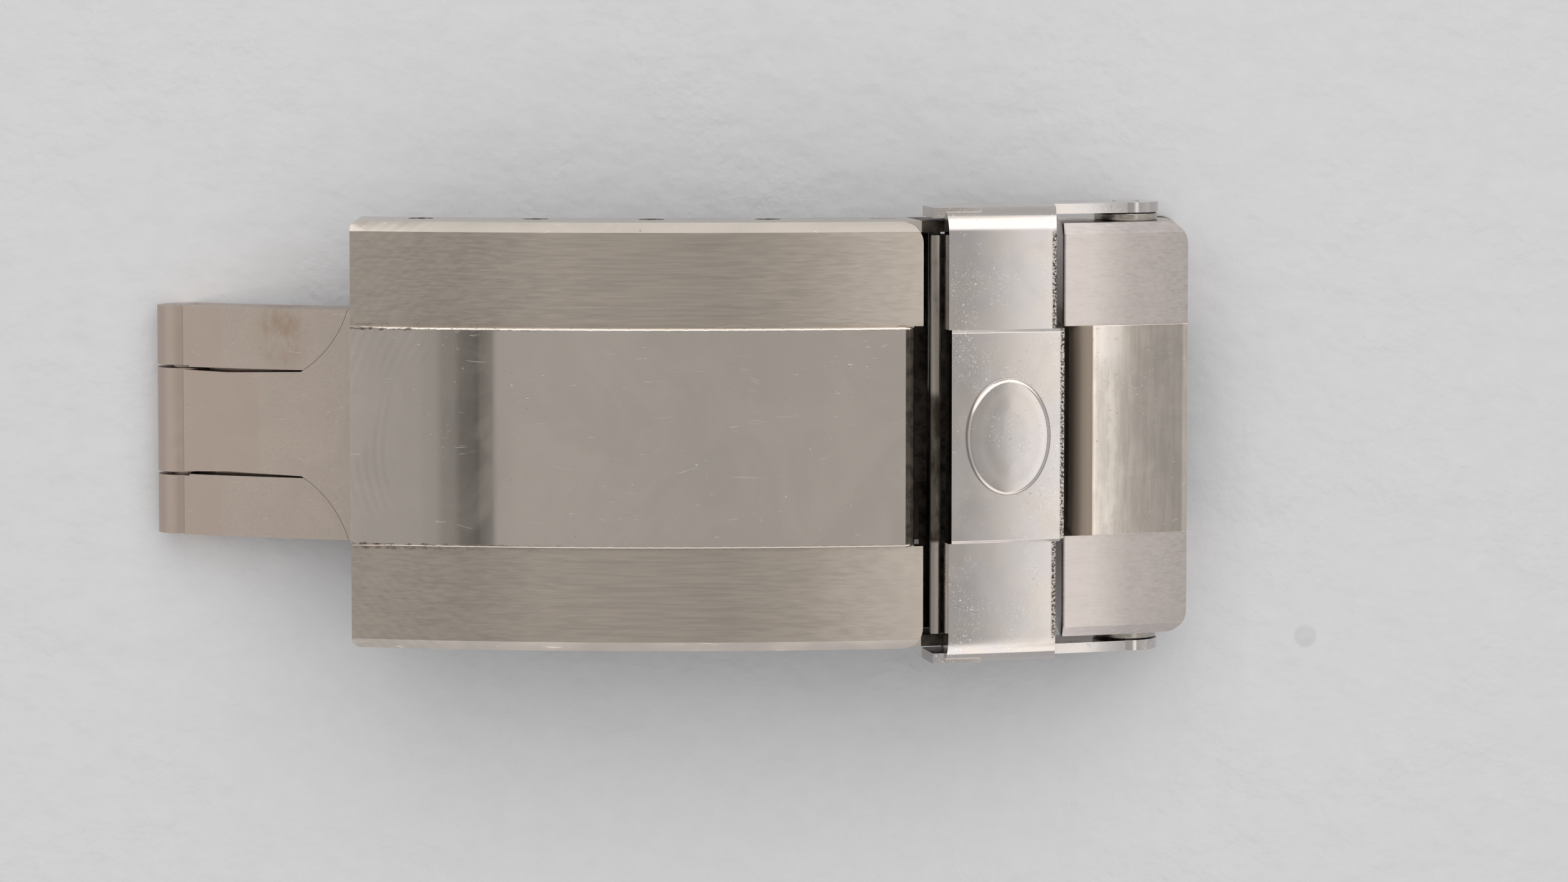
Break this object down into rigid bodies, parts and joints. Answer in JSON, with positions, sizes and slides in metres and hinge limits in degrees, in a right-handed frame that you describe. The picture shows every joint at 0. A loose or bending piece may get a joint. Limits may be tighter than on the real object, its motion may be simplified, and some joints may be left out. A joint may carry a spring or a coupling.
{
  "type": "deployant clasp",
  "caption": "Folding bracelet clasp with a curved cover, two hinged blades, an opening lever, a flip-over safety lock and an end link.",
  "frame": {"origin": "middle of the lowest points: the blade hinge and the end link's lower edge stand on z = 0", "axes": "+X along the bracelet from the blade hinge to the end link, +Y across it towards the picture's top, +Z away from the wrist"},
  "size_m": [0.0412, 0.0178, 0.011],
  "materials": {
    "brushed_metal": "fine lengthwise brushing, warm grey white metal",
    "polished_metal": "polished, with hairline wear",
    "spring_steel": "bare drawn wire"
  },
  "bodies": {
    "lower": {"lower_blade": "brushed_metal", "end_link_flank_back": "brushed_metal", "end_link_flank_front": "brushed_metal", "end_link_centre": "polished_metal", "blade_end_pin": "polished_metal", "centre_link_pin": "polished_metal", "lock_pivot_back": "polished_metal", "lock_pivot_front": "polished_metal", "lock_washer_back": "polished_metal", "lock_washer_front": "polished_metal", "blade_hinge_pin": "polished_metal"},
    "upper": {"upper_blade": "brushed_metal"},
    "cover": {"cover_shell": "brushed_metal", "cover_hinge_pin": "polished_metal", "lever_pin": "polished_metal", "spring_bar_tube": "polished_metal", "spring_bar_spring": "spring_steel"},
    "lever": {"opening_lever": "polished_metal"},
    "lock": {"safety_lock": "polished_metal", "thumb_boss": "polished_metal"},
    "bar_tip_back": {"spring_bar_tip_back": "polished_metal"},
    "bar_tip_front": {"spring_bar_tip_front": "polished_metal"}
  },
  "joints": [
    {"name": "blade_unfold", "type": "hinge", "parent": "lower", "child": "upper", "pos_m": [-0.01945, 0, 0.00115], "axis": [0, -1, 0], "range_deg": [0, 160]},
    {"name": "cover_unfold", "type": "hinge", "parent": "upper", "child": "cover", "pos_m": [0.00854, 0, 0.00707], "axis": [0, -1, 0], "range_deg": [-120, 0]},
    {"name": "lock_flip", "type": "hinge", "parent": "lower", "child": "lock", "pos_m": [0.0182, 0, 0.00423], "axis": [0, 1, 0], "range_deg": [0, 90]},
    {"name": "lever_lift", "type": "hinge", "parent": "cover", "child": "lever", "pos_m": [0.01255, 0, 0.00764], "axis": [0, -1, 0], "range_deg": [0, 30]},
    {"name": "tip_back_press", "type": "slide", "parent": "cover", "child": "bar_tip_back", "axis": [0, -1, 0], "range_m": [0, 0.0008], "stiffness_N_per_m": 500, "springref_m": -0.001, "deforming": ["spring_bar_spring"]},
    {"name": "tip_front_press", "type": "slide", "parent": "cover", "child": "bar_tip_front", "axis": [0, 1, 0], "range_m": [0, 0.0008], "stiffness_N_per_m": 500, "springref_m": -0.001}
  ],
  "couplings": [
    {"joint": "cover_unfold", "follows": "blade_unfold", "ratio": -0.75},
    {"joint": "lever_lift", "follows": "lock_flip", "ratio": 0.33333}
  ]
}
